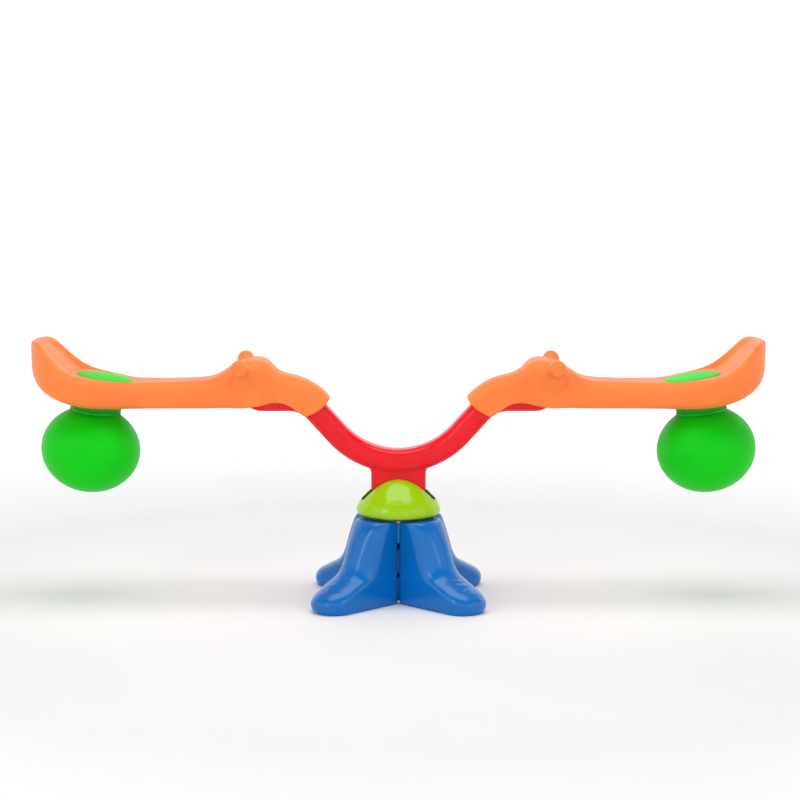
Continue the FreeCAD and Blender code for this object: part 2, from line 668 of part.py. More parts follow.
def tilted_place(piece):
    """Place of a piece under or in the bucket, tilted back with the seat."""
    turn = Rotation(Vector(0, 1, 0), -value(piece + "_tilt"))
    return Placement(Vector(value(piece + "_x"), 0, value(piece + "_z")), turn)


BALL_PLACE = tilted_place("ball")
DISC_PLACE = tilted_place("disc")


def ramp(x, start, end):
    """Share of the way from start to end, held at 0 before and 1 after."""
    return min(max((x - start) / (end - start), 0), 1)


def seat_low(x):
    """Underside: level under the saddle, a quarter ellipse up to the end wall, deeper at the trunk."""
    if x < UNDERSIDE_START:
        return UNDERSIDE - 30 * (1 - ramp(x, 200, 290))
    share = (x - UNDERSIDE_START) / UNDERSIDE_RUN
    return UNDERSIDE + UNDERSIDE_RISE * (1 - math.sqrt(1 - share * share))


def seat_half_width(x):
    if x <= BUCKET_CENTRE:
        return SEAT_WIDTH(x)
    return BUCKET_HALF * math.sqrt(1 - ((x - BUCKET_CENTRE) / BUCKET_LENGTH) ** 2)


def seat_section(x):
    half_width, low, high = seat_half_width(x), seat_low(x), SEAT_TOP(x)
    largest = 0.92 * min(half_width, (high - low) / 2)
    corner_high = min(largest, 26 - 15 * ramp(x, SADDLE_START, 650))
    corner_low = min(largest, 16 + 16 * ramp(x, SADDLE_START, 620))
    return rounded_box(x, half_width, low, high, corner_low, corner_high)


def seat_grips():
    """Cross bar of two hand grips that flare into the sides of the hump."""
    grip, boss = value("grip_dia") / 2, value("boss_radius")
    x, z, reach = value("grip_x"), value("grip_z"), value("grip_reach")
    root, straight = 30, 97
    # rings of the flare: distance from the middle plane, place of the centre, radius
    rings = [(root, x - 7, z - 28, boss), (58, x - 7, z - 28, boss), (68, x - 5, z - 23, boss - 2.5),
             (78, x - 2.5, z - 11, grip + 3.5), (88, x - 0.5, z - 2, grip + 0.5), (straight, x, z, grip)]
    wires = [Part.Wire(Part.makeCircle(radius, Vector(centre_x, y, centre_z), Vector(0, 1, 0)))
             for y, centre_x, centre_z, radius in rings]
    flare = Part.makeLoft(wires, True, False)
    tip = Part.makeCylinder(grip, reach - straight, Vector(x, straight, z), Vector(0, 1, 0))
    end = max(tip.Edges, key=lambda edge: edge.BoundBox.YMin)
    right = flare.fuse(tip.makeFillet(9.5, [end]))
    return right.fuse(right.mirror(Vector(0, 0, 0), Vector(0, 1, 0)))


def bowl_floor(x):
    """Height of the bucket's floor plane, level with the disc's underside."""
    slope = math.tan(math.radians(value("disc_tilt")))
    return value("disc_z") - value("disc_gap") + (x - value("disc_x")) * slope


BOWL_FLOOR = curve_through([(528, 454)] + [(x, bowl_floor(x)) for x in (543, 570, 640, 659)]
                           + [(672, 477), (686, 491), (702, 509.5), (716, 525.5), (725.5, 536.5)])


def bowl_section(x, half_width):
    """Section of the hollow: floor, rounded corner, side wall, and a roll outwards over the rim."""
    low, high = BOWL_FLOOR(x), SEAT_TOP(x)
    depth = high - low
    corner = min(value("bowl_corner"), 0.45 * depth)
    roll = min(value("rim_roll"), 0.45 * depth)
    outer, above = half_width + roll, high + 60
    right = [(half_width - corner, low + corner, corner, -90, 0), (outer, high - roll, roll, 180, 90),
             (outer, above)]
    left = [(-outer, above), (-outer, high - roll, roll, 90, 0),
            (corner - half_width, low + corner, corner, 180, 270)]
    return section_wire(x, right + left)


def bowl():
    """Hollow of the bucket: a floor under the disc that curves up into a leaning backrest."""
    sections = [bowl_section(x, BOWL_WIDTH(x)) for x in BOWL_STATIONS]
    length, half = BUCKET_LENGTH - value("rim_wall"), BOWL_WIDTH(BUCKET_CENTRE)
    for turn in BOWL_BACK_TURNS:
        angle = math.radians(turn)
        sections.append(bowl_section(BUCKET_CENTRE + length * math.sin(angle), half * math.cos(angle)))
    return Part.makeLoft(sections, True, False)


def trunk_cuts():
    """What is taken off the trunk: its rounded end face, and the arch under which the beam shows."""
    tip, root = (140.5, 417), (193, 382)
    nose = Part.Arc(Vector(tip[0], 0, tip[1]), Vector(160, 0, 397.5), Vector(root[0], 0, root[1]))
    end = side_lines([root, (root[0], 330), (100, 330), (100, tip[1]), tip])
    arch = side_curve([(186, 381), (212, 399), (230, 409), (248, 412), (268, 410.5), (296, 405), (325, 401)])
    below = side_lines([(325, 401), (325, 330), (186, 330), (186, 381)])
    return [side_block([nose.toShape()] + end, 90), side_block([arch] + below, 90)]


def make_seat_shape():
    body = Part.makeLoft([seat_section(x) for x in TRUNK_STATIONS + SADDLE_STATIONS], True, False)
    body = body.fuse(seat_grips()).cut(trunk_cuts()).cut(bowl())
    body = body.cut(beam_sweep(value("channel_clearance")))
    socket = cylinder(value("collar_radius") + 0.3, 0, value("collar_top"))
    bolt = cylinder(value("ball_bolt_dia") / 2 + 0.5, 0, value("ball_bolt_seat"))
    recess = cylinder(value("bolt_recess_radius"), value("ball_bolt_seat"), value("ball_bolt_seat") + 60)
    body = body.cut([placed(tool, BALL_PLACE) for tool in (socket, bolt, recess)])
    screw_top = BEAM_LOW + BOLT_SINK_DEPTH + value("seat_bolt_length") + 2
    return body.cut([cylinder(value("seat_bolt_dia") / 2, BEAM_LOW, screw_top, x) for x in SEAT_BOLTS])


def make_disc_shape():
    """Crowned disc with a stub ring that snaps into the bolt recess below it."""
    radius, edge, crown = value("disc_radius"), value("disc_edge"), value("disc_crown")
    sphere = (radius ** 2 + (crown - edge) ** 2) / (2 * (crown - edge))
    dome = cylinder(radius, 0, crown).common(Part.makeSphere(sphere, Vector(0, 0, crown - sphere)))
    outer = value("bolt_recess_radius") - 0.3
    ring_low, ring_high = value("ball_bolt_seat") + 12, value("ball_bolt_seat") + 27
    ring = placed(tube(outer - 2.5, outer, ring_low, ring_high), BALL_PLACE)
    return placed(dome, DISC_PLACE).fuse(ring).removeSplitter()


# ---------------------------------------------------------------- bumper balls, each about its own axis

BALL_BOLT_FLOOR = value("ball_flat") - value("plug_depth") + 8
BALL_WASHER_THICK = 3


def ball_shape():
    """Squashed ball of revolution, flat on top where the collar sits, with a bore for its plug."""
    half_height, radius, flat = value("ball_half_height"), value("ball_radius"), value("ball_flat")
    bore, floor = value("plug_radius"), flat - value("plug_depth")
    ellipse = Part.Ellipse(Vector(radius, 0, 0), Vector(0, 0, half_height), Vector(0, 0, 0))
    arc = Part.ArcOfEllipse(ellipse, -math.pi / 2, math.asin(flat / half_height))
    rim = (arc.EndPoint.x, flat)
    steps = side_lines([rim, (bore, flat), (bore, floor), (0, floor), (0, -half_height)])
    face = Part.Face(Part.Wire([arc.toShape()] + steps))
    return face.revolve(Vector(0, 0, 0), Vector(0, 0, 1), 360)


def collar_shape():
    """Rubber collar between ball and seat, with a groove round it."""
    radius, low, high = value("collar_radius"), value("ball_flat"), value("collar_top")
    groove = Part.makeTorus(radius + 1, 2.2, Vector(0, 0, low + 7))
    return tube(value("ball_bolt_dia") / 2 + 0.3, radius, low, high).cut(groove)


def plug_shape():
    top = value("ball_flat")
    plug = cylinder(value("plug_radius"), top - value("plug_depth"), top)
    return plug.cut(cylinder(value("ball_bolt_dia") / 2, BALL_BOLT_FLOOR, top))


def ball_bolt_shape():
    across_flats, head_height = 18, 7.5
    head_seat = value("ball_bolt_seat") + BALL_WASHER_THICK
    shank = cylinder(value("ball_bolt_dia") / 2, BALL_BOLT_FLOOR, head_seat)
    return shank.fuse(hexagon(across_flats, head_seat, head_height)).removeSplitter()


def washer_shape():
    seat = value("ball_bolt_seat")
    return tube(value("ball_bolt_dia") / 2 + 0.3, 15, seat, seat + BALL_WASHER_THICK)


# ---------------------------------------------------------------- both ends of the beam

seat_shape = make_seat_shape()
disc_shape = make_disc_shape()
BALL_PIECES = {"bumper_ball": ball_shape, "ball_collar": collar_shape, "ball_plug": plug_shape,
               "ball_bolt": ball_bolt_shape, "ball_washer": washer_shape}
SEAT_SCREW = screw_shape(6.5, 6, value("seat_bolt_dia") / 2 - 0.1, value("seat_bolt_length"))

for side, turn in SIDES.items():
    part_feature("seat_" + side, seat_shape, spun(turn))
    part_feature("seat_disc_" + side, disc_shape, spun(turn))
    for piece, make_shape in BALL_PIECES.items():
        part_feature(piece + "_" + side, make_shape(), spun(turn).multiply(BALL_PLACE))
    screw_group("seat_bolts_" + side, [(x, 0, 0) for x in SEAT_BOLTS], SEAT_SCREW,
                spun(turn).multiply(upside_down(BEAM_LOW + BOLT_SINK_DEPTH)))

# ---------------------------------------------------------------- checks and output

doc.recompute()
for item in doc.Objects:
    if "Invalid" in item.State or "Error" in item.State:
        raise RuntimeError("failed object: " + item.Label)
for name, item in nodes.items():
    if item.Shape.isNull() or not item.Shape.isValid():
        raise RuntimeError("bad shape: " + name)
os.makedirs("parts", exist_ok=True)
for name, item in nodes.items():
    item.Shape.exportStep("parts/%s.step" % name)
print(len(nodes), "nodes")
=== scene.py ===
"""Looks of the seesaw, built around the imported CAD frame. All lengths are in metres."""
import json
import math

import bpy
import numpy as np
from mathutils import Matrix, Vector
from mathutils.bvhtree import BVHTree


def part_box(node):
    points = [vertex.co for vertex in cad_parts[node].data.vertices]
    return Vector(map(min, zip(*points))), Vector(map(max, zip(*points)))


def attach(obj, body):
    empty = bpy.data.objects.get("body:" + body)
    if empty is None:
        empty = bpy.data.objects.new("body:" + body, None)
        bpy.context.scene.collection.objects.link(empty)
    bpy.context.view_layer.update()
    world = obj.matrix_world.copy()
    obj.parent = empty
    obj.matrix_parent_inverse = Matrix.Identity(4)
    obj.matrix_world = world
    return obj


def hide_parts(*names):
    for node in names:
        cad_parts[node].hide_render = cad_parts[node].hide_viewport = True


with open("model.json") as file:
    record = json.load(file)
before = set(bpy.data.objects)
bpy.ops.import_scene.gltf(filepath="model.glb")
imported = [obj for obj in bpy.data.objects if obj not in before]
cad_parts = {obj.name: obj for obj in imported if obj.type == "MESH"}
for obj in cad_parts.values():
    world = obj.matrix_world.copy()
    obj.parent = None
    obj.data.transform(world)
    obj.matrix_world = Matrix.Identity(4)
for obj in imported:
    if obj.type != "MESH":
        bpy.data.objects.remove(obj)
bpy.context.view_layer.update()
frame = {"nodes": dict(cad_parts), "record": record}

NODES = frame["nodes"]
SCENE = bpy.context.scene
MM = 0.001
SIDES = (("left", -1), ("right", 1))


# ---------------------------------------------------------------- camera

CAMERA_PLACE = (0, -4.3, 0.969)
CAMERA_PITCH = math.radians(80.61)
CAMERA_SENSOR, CAMERA_LENS = 36, 95.3
CAMERA_SHIFT = (0.0019, 0.0938)
CAMERA_REACH = 60
EXPOSURE = -0.78


def link(obj):
    SCENE.collection.objects.link(obj)
    return obj


camera = link(bpy.data.objects.new("camera", bpy.data.cameras.new("camera")))
camera.location = CAMERA_PLACE
camera.rotation_euler = (CAMERA_PITCH, 0, 0)
camera.data.sensor_width = CAMERA_SENSOR
camera.data.lens = CAMERA_LENS
camera.data.shift_x, camera.data.shift_y = CAMERA_SHIFT
camera.data.clip_end = CAMERA_REACH
SCENE.camera = camera
SCENE.view_settings.view_transform = "Standard"
SCENE.view_settings.exposure = EXPOSURE


# ---------------------------------------------------------------- material graphs

class Graph:
    """A short way to write a material's node graph."""

    def __init__(self, name):
        self.material = bpy.data.materials.new(name)
        self.material.use_nodes = True
        self.tree = self.material.node_tree
        self.shader = self.tree.nodes["Principled BSDF"]
        self.place = self.node("ShaderNodeTexCoord").outputs["Object"]

    def node(self, kind, **values):
        made = self.tree.nodes.new(kind)
        for key, value in values.items():
            setattr(made, key, value)
        return made

    def link(self, source, target):
        self.tree.links.new(source, target)

    def shade(self, **values):
        """Sets the shader's own sockets, named with _ for a space: a number as it is, a socket by a link."""
        for key, value in values.items():
            socket = self.shader.inputs[key.replace("_", " ")]
            if isinstance(value, bpy.types.NodeSocket):
                self.link(value, socket)
            else:
                socket.default_value = value

    def noise(self, scale, detail, stretch=None):
        """Noise from 0 to 1 with the given number of features per metre."""
        made = self.node("ShaderNodeTexNoise")
        made.inputs["Scale"].default_value = scale
        made.inputs["Detail"].default_value = detail
        place = self.place
        if stretch:
            mapping = self.node("ShaderNodeMapping")
            mapping.inputs["Scale"].default_value = stretch
            self.link(place, mapping.inputs["Vector"])
            place = mapping.outputs["Vector"]
        self.link(place, made.inputs["Vector"])
        return made.outputs["Fac"]

    def spread(self, value, band, to=(0, 1)):
        """A value that runs over band, spread over the range to, and held at its ends."""
        made = self.node("ShaderNodeMapRange")
        for key, number in zip(("From Min", "From Max", "To Min", "To Max"), (*band, *to)):
            made.inputs[key].default_value = number
        self.link(value, made.inputs["Value"])
        return made.outputs["Result"]

    def times(self, a, b):
        made = self.node("ShaderNodeMath", operation="MULTIPLY")
        self.link(a, made.inputs[0])
        self.link(b, made.inputs[1])
        return made.outputs[0]

    def more(self, value, factor, base):
        """The base value, raised by factor times another."""
        made = self.node("ShaderNodeMath", operation="MULTIPLY_ADD")
        self.link(value, made.inputs[0])
        made.inputs[1].default_value = factor
        self.link(base, made.inputs[2])
        return made.outputs[0]

    def mixed(self, share, a, b):
        """Colours a and b, each a socket or three numbers, mixed by a share."""
        made = self.node("ShaderNodeMix", data_type="RGBA")
        self.link(share, made.inputs["Factor"])
        for socket, colour in ((made.inputs[6], a), (made.inputs[7], b)):
            if isinstance(colour, bpy.types.NodeSocket):
                self.link(colour, socket)
            else:
                socket.default_value = (*colour, 1)
        return made.outputs[2]

    def bump(self, height, strength, depth, under=None):
        made = self.node("ShaderNodeBump")
        made.inputs["Strength"].default_value = strength
        made.inputs["Distance"].default_value = depth
        self.link(height, made.inputs["Height"])
        if under:
            self.link(under, made.inputs["Normal"])
        return made.outputs["Normal"]

    def worn(self):
        """How far a point is on a rubbed edge, broken up by noise."""
        pointed = self.node("ShaderNodeNewGeometry").outputs["Pointiness"]
        rubbed = self.spread(self.noise(RUBS, 4), RUB_BAND, (0.15, 1))
        return self.times(self.spread(pointed, EDGE_BAND), rubbed)


# ---------------------------------------------------------------- materials

# Features per metre of each noise, from the widest to the finest.
PAPER_CLOUDS = 3
CLOUDS = 7
GLOSS_CLOUDS = 16
SCUFFS = 40
WAVES = 70
RUBS = 90
SPOTS = 220
SPECKS = 420
SKIN = 700
BRUSHING = 900

# The part of each noise's range that counts, from none to all.
CLOUD_BAND = (0.35, 0.65)
GLOSS_BAND = (0.3, 0.7)
SCUFF_BAND = (0.5, 0.75)
SPECK_BAND = (0.66, 0.74)
SPOT_BAND = (0.55, 0.7)
EDGE_BAND = (0.56, 0.66)
RUB_BAND = (0.42, 0.62)

SKIN_DEPTH = 0.2 * MM
WAVE_DEPTH = 5 * MM
BRUSH_DEPTH = 0.1 * MM
SCUFF_ROUGHNESS = 0.05
PLASTIC_IOR = 1.49
COAT_ROUGHNESS = 0.12
SCATTER_REACH = 6 * MM


def linear(red, green, blue):
    """A colour's 0 to 255 screen values as the linear values that a shader takes."""
    shares = (c / 255 for c in (red, green, blue))
    return tuple(((c + 0.055) / 1.055) ** 2.4 if c > 0.04 else c / 12.92 for c in shares)


def scaled(colour, factor):
    return tuple(min(1.0, c * factor) for c in colour)


def plastic(name, colour, rough, coat=0.0, peel=0.25, wave=0.0, pale=0.12, level=0.22, scatter=0.0):
    """Moulded plastic: a cloudy colour, faint specks, rubbed edges, uneven gloss and a fine moulded skin."""
    g = Graph(name)
    cloud = g.spread(g.noise(CLOUDS, 3), CLOUD_BAND)
    base = g.mixed(cloud, scaled(colour, 0.94), scaled(colour, 1.05))
    specks = g.spread(g.noise(SPECKS, 2), SPECK_BAND, (0, 0.35))
    base = g.mixed(specks, base, scaled(colour, 0.8))
    base = g.mixed(g.worn(), base, tuple(c + (1 - c) * pale for c in colour))
    scuffs = g.spread(g.noise(SCUFFS, 5, stretch=(1, 0.6, 1.5)), SCUFF_BAND)
    gloss = g.spread(g.noise(GLOSS_CLOUDS, 3), GLOSS_BAND, (rough - 0.04, rough + 0.05))
    skin = g.bump(g.noise(SKIN, 2), peel, SKIN_DEPTH)
    if wave:
        skin = g.bump(g.noise(WAVES, 2), wave, WAVE_DEPTH, skin)
    g.shade(Base_Color=base, Roughness=g.more(scuffs, SCUFF_ROUGHNESS, gloss), Normal=skin)
    g.shade(IOR=PLASTIC_IOR, Specular_IOR_Level=level, Coat_Weight=coat, Coat_Roughness=COAT_ROUGHNESS)
    if scatter:
        g.shade(Subsurface_Weight=scatter, Subsurface_Scale=SCATTER_REACH, Subsurface_Radius=(1.0, 0.5, 0.25))
    return g.material


def metal(name, colour, rough):
    """Zinc-plated steel: fine brushing, cloudy plating and darker spots."""
    g = Graph(name)
    spots = g.spread(g.noise(SPOTS, 4), SPOT_BAND, (0, 0.6))
    gloss = g.spread(g.noise(RUBS, 4), GLOSS_BAND, (rough - 0.08, rough + 0.1))
    brushed = g.bump(g.noise(BRUSHING, 3, stretch=(1, 1, 6)), 0.3, BRUSH_DEPTH)
    g.shade(Base_Color=g.mixed(spots, colour, scaled(colour, 0.55)), Roughness=gloss, Normal=brushed)
    g.shade(Metallic=1.0)
    return g.material


def paper():
    """Pale studio paper, which glows softly away from the object so that its edge isn't seen."""
    g = Graph("studio_paper")
    tint = g.mixed(g.noise(PAPER_CLOUDS, 3), (0.91, 0.91, 0.915), (0.94, 0.94, 0.94))
    away = g.node("ShaderNodeVectorMath", operation="LENGTH")
    g.link(g.place, away.inputs[0])
    glow = g.spread(away.outputs["Value"], GLOW_FROM_TO, (0.0, GLOW))
    g.shade(Base_Color=tint, Roughness=0.85, Emission_Color=(1, 1, 1, 1), Emission_Strength=glow)
    return g.material


ORANGE = linear(255, 130, 62)
RED = linear(230, 10, 26)
BLUE = linear(0, 106, 186)
LIME = linear(156, 204, 0)
DISC_GREEN = linear(56, 216, 36)
BALL_GREEN = linear(0, 198, 12)
COLLAR_GREEN = linear(0, 168, 22)
BLACK = (0.03, 0.03, 0.032)
ZINC = (0.62, 0.62, 0.6)
SCREW_ZINC = (0.56, 0.56, 0.57)

MATERIALS = {
    "orange_plastic": plastic("orange_plastic", ORANGE, 0.42, peel=0.3, pale=0.22, scatter=0.1),
    "red_plastic": plastic("red_plastic", RED, 0.27, wave=0.03, level=0.3),
    "blue_plastic": plastic("blue_plastic", BLUE, 0.2, coat=0.12, wave=0.06, pale=0.08, level=0.3),
    "lime_plastic": plastic("lime_plastic", LIME, 0.16, coat=0.15, wave=0.3, pale=0.1, level=0.35),
    "disc_plastic": plastic("disc_plastic", DISC_GREEN, 0.42, pale=0.2, level=0.12),
    "ball_vinyl": plastic("ball_vinyl", BALL_GREEN, 0.44, peel=0.3, level=0.16),
    "collar_rubber": plastic("collar_rubber", COLLAR_GREEN, 0.5, peel=0.5, level=0.12),
    "black_nylon": plastic("black_nylon", BLACK, 0.5, peel=0.5),
    "plated_steel": metal("plated_steel", ZINC, 0.32),
    "screw_steel": metal("screw_steel", SCREW_ZINC, 0.36),
}
NODE_SLOT = {part["node"]: part["material_slot"] for part in frame["record"]["subparts"]}


# ---------------------------------------------------------------- mesh work

EVEN_IN, EVEN_OUT = 0.5, 0.52
FILL_PACE = 0.7
SOFTEN_PACE = 0.5
CORNERS = 4


class Grid:
    """A closed mesh of squares, held as arrays so that all its points are moved by one sum."""

    def __init__(self, obj):
        mesh = obj.data
        self.obj = obj
        points = np.empty(len(mesh.vertices) * 3)
        mesh.vertices.foreach_get("co", points)
        self.co = points.reshape(-1, 3)
        edges = np.empty(len(mesh.edges) * 2, np.int64)
        mesh.edges.foreach_get("vertices", edges)
        self.a, self.b = edges.reshape(-1, 2).T
        self.degree = self.summed(np.ones((len(self.co), 1)))
        self.quads = np.array([p.vertices[:] for p in mesh.polygons if len(p.vertices) == CORNERS])

    def summed(self, values):
        """For each point, the sum of its neighbours' values."""
        total = np.empty_like(values)
        for k in range(values.shape[1]):
            column = values[:, k]
            forward = np.bincount(self.a, column[self.b], len(values))
            total[:, k] = forward + np.bincount(self.b, column[self.a], len(values))
        return total

    def pull(self):
        """For each point, the way to the middle of its neighbours."""
        return self.summed(self.co) / self.degree - self.co

    def normals(self):
        p = self.co[self.quads]
        cross = np.cross(p[:, 2] - p[:, 0], p[:, 3] - p[:, 1])
        total = np.zeros_like(self.co)
        for k in range(3):
            total[:, k] = np.bincount(self.quads.ravel(), np.repeat(cross[:, k], CORNERS), len(self.co))
        return total / np.maximum(np.linalg.norm(total, axis=1, keepdims=True), 1e-12)

    def even(self, rounds):
        """Takes out the grid's steps without shrinking the shape."""
        for _ in range(rounds):
            self.co += EVEN_IN * self.pull()
            self.co -= EVEN_OUT * self.pull()

    def fill(self, rounds, share=1.0):
        """Rounds only the hollow corners, so that one form runs into the next."""
        for _ in range(rounds):
            n = self.normals()
            depth = np.sum(self.pull() * n, axis=1, keepdims=True)
            self.co += share * FILL_PACE * np.maximum(depth, 0) * n

    def soften(self, rounds, share=1.0):
        """Rounds every corner."""
        for _ in range(rounds):
            self.co += SOFTEN_PACE * share * self.pull()

    def push(self, amount):
        """Moves each point outwards by its own amount."""
        self.co += amount[:, None] * self.normals()

    def done(self, node):
        """Keeps every point inside the CAD node's own box, and hands the points back to the mesh."""
        low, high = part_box(node)
        self.co = np.clip(self.co, np.array(low), np.array(high))
        self.obj.data.vertices.foreach_set("co", self.co.astype(np.float32).ravel())
        self.obj.data.update()
        return self.obj


def smooth(mesh):
    mesh.polygons.foreach_set("use_smooth", [True] * len(mesh.polygons))


def remeshed(node, step):
    """A new object of the CAD node's shape in even squares of the given size."""
    name = node + "_moulding"
    obj = link(bpy.data.objects.new(name, NODES[node].data.copy()))
    obj.data.materials.clear()
    grid = obj.modifiers.new("grid", "REMESH")
    grid.mode = "VOXEL"
    grid.voxel_size = step
    bpy.context.view_layer.update()
    made = obj.evaluated_get(bpy.context.evaluated_depsgraph_get())
    obj.data = bpy.data.meshes.new_from_object(made)
    obj.modifiers.clear()
    obj.data.name = name
    return obj


def ring_faces(rings, count, closed_first=True):
    """The faces that join rings of points, each with the same count, and close the last ring."""
    faces = []
    for a in range(0, (rings - 1) * count, count):
        b = a + count
        for k in range(count):
            n = (k + 1) % count
            faces.append((a + k, a + n, b + n, b + k))
    if closed_first:
        faces.append(tuple(range(count))[::-1])
    faces.append(tuple((rings - 1) * count + k for k in range(count)))
    return faces


def mesh_object(name, verts, faces):
    mesh = bpy.data.meshes.new(name)
    mesh.from_pydata(verts, [], faces)
    smooth(mesh)
    return link(bpy.data.objects.new(name, mesh))


def give(obj, body, slot, *replaced):
    """Settles what a new piece is: its finish, the body it rides on and the CAD nodes it stands for."""
    smooth(obj.data)
    obj.data.materials.clear()
    obj.data.materials.append(MATERIALS[slot])
    if replaced:
        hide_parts(*replaced)
    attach(obj, body)
    return obj


def moulding(node, step, body, slot, even, soften, fill=0, sink=0.0):
    """Stands an evenly meshed and softened copy of a CAD node in its place."""
    grid = Grid(remeshed(node, step))
    grid.even(even)
    grid.fill(fill)
    grid.soften(soften)
    grid.co[:, 2] -= sink
    return give(grid.done(node), body, slot, node)


def bell_curve(x, middle, width):
    return np.exp(-(((x - middle) / width) ** 2))


def step_curve(x, low, high):
    """0 below low, 1 above high, and smooth between."""
    t = np.clip((x - low) / (high - low), 0, 1)
    return t * t * (3 - 2 * t)


# ---------------------------------------------------------------- feet

FOOT_STEP = 2.0 * MM
FOOT_EVEN, FOOT_SOFTEN, FOOT_FILL = 6, 3, 12
DIAGONAL = math.sqrt(2)

# Each fold's distance from the middle of the base, and its share of the depth.
FOLDS = ((163 * MM, 0.7), (177 * MM, 1.0), (194 * MM, 0.8))
FOLD_WIDTH = 3.6 * MM
FOLD_DEPTH = 0.8 * MM
FOLD_SLANT = 0.12
FOLD_WANDER = 2 * MM
FOLD_WANDER_RATE = 160
FOLD_LIP, FOLD_LIP_AWAY = 0.55, 6 * MM
FOLD_OFFSET, FOLD_HALF_LENGTH = 6 * MM, 15 * MM
FOLD_FACING = (0.1, 0.6)

SEAM_RADIUS = 1.5 * MM
SEAM_SUNK = 0.3
SEAM_SIDES = 8
SEAM_TOP, SEAM_TOE, SEAM_POINTS = 70, 7, 90
SEAM_RAY = 0.4
SEAM_EVEN = 4
SEAM_TIP, SEAM_TAPER_TOP, SEAM_TAPER_TOE = 0.1, 0.08, 0.12


def fold_depth(out, across):
    """How deep the folds over the instep are, from the places along and across the foot."""
    depth = np.zeros(len(out))
    for k, (place, share) in enumerate(FOLDS):
        along = out + FOLD_SLANT * np.abs(across) + FOLD_WANDER * np.sin(across * FOLD_WANDER_RATE + k)
        lip = FOLD_LIP * bell_curve(along, place + FOLD_LIP_AWAY, FOLD_WIDTH)
        length = bell_curve(across, FOLD_OFFSET * (-1) ** k, FOLD_HALF_LENGTH)
        depth += share * (bell_curve(along, place, FOLD_WIDTH) - lip) * length
    return FOLD_DEPTH * depth


def ridge(obj, x_side, y_side):
    """Points down the foot's ridge, found by rays towards the foot of the vertical axis."""
    mesh = obj.data
    tree = BVHTree.FromPolygons([v.co for v in mesh.vertices], [p.vertices for p in mesh.polygons])
    line = []
    for turn in np.radians(np.linspace(SEAM_TOP, SEAM_TOE, SEAM_POINTS)):
        level = math.cos(turn) / DIAGONAL
        way = Vector((x_side * level, y_side * level, math.sin(turn)))
        place, normal = tree.ray_cast(way * SEAM_RAY, -way)[:2]
        if place:
            line.append(place - SEAM_SUNK * SEAM_RADIUS * normal)
    for _ in range(SEAM_EVEN):
        inner = [(a + 2 * b + c) / 4 for a, b, c in zip(line, line[1:], line[2:])]
        line = [line[0], *inner, line[-1]]
    return line


def tube(name, points, radii):
    """A closed tube along points, with its own radius at each."""
    verts = []
    for i, point in enumerate(points):
        ahead = (points[min(i + 1, len(points) - 1)] - points[max(i - 1, 0)]).normalized()
        across = ahead.cross(Vector((0, 0, 1))).normalized()
        up = across.cross(ahead)
        for k in range(SEAM_SIDES):
            turn = 2 * math.pi * k / SEAM_SIDES
            verts.append(point + radii[i] * (math.cos(turn) * across + math.sin(turn) * up))
    return mesh_object(name, verts, ring_faces(len(points), SEAM_SIDES))


def make_seam(node, foot, x_side, y_side):
    """The mould's parting line down the foot's ridge, tapered to nothing at both ends."""
    line = ridge(foot, x_side, y_side)
    share = np.linspace(0, 1, len(line))
    taper = step_curve(share, 0, SEAM_TAPER_TOP) * step_curve(1 - share, 0, SEAM_TAPER_TOE)
    radii = SEAM_RADIUS * (SEAM_TIP + (1 - SEAM_TIP) * taper)
    give(tube(node + "_seam", line, radii.tolist()), "base", "blue_plastic")


def make_foot(node, x_side, y_side):
    """A blow-moulded foot on one diagonal of the base: soft edges, and folds over the instep."""
    grid = Grid(remeshed(node, FOOT_STEP))
    grid.even(FOOT_EVEN)
    grid.soften(FOOT_SOFTEN)
    grid.fill(FOOT_FILL)
    x, y = grid.co[:, 0], grid.co[:, 1]
    out = (x * x_side + y * y_side) / DIAGONAL
    across = (x * x_side * y_side - y) / DIAGONAL
    facing = step_curve(grid.normals()[:, 2], *FOLD_FACING)
    grid.push(-fold_depth(out, across) * facing)
    foot = give(grid.done(node), "base", "blue_plastic", node)
    make_seam(node, foot, x_side, y_side)


for name, y_side in (("front", -1), ("rear", 1)):
    for side, x_side in SIDES:
        make_foot(f"leg_{name}_{side}", x_side, y_side)


# ---------------------------------------------------------------- lands between the feet

LAND_HALF = 2.6 * MM
LAND_RADIUS = 1.2 * MM
LAND_CHAMFER = 0.6
LAND_CORNER_POINTS = 4

# Each land's nearest and furthest distance from the axis, and its lowest and highest point, in mm.
LANDS = ((44, 57, 9, 53), (44, 57, 64, 111), (44, 57, 125, 155.5), (62.7, 66.5, 128, 169))


def rounded_block(low, high, radius):
    """The points of a block, ring by ring, with rounded upright edges and a chamfered top and bottom."""
    middle = [(low[k] + high[k]) / 2 for k in range(2)]
    half = [(high[k] - low[k]) / 2 - radius for k in range(2)]
    chamfered = radius - LAND_CHAMFER * radius
    verts = []
    for level, reach in ((low[2], chamfered), (low[2] + radius, radius),
                         (high[2] - radius, radius), (high[2], chamfered)):
        for quarter, (x, y) in enumerate(((1, 1), (-1, 1), (-1, -1), (1, -1))):
            for k in range(LAND_CORNER_POINTS):
                turn = math.pi / 2 * (quarter + k / (LAND_CORNER_POINTS - 1))
                verts.append((middle[0] + half[0] * x + reach * math.cos(turn),
                              middle[1] + half[1] * y + reach * math.sin(turn), level))
    return verts


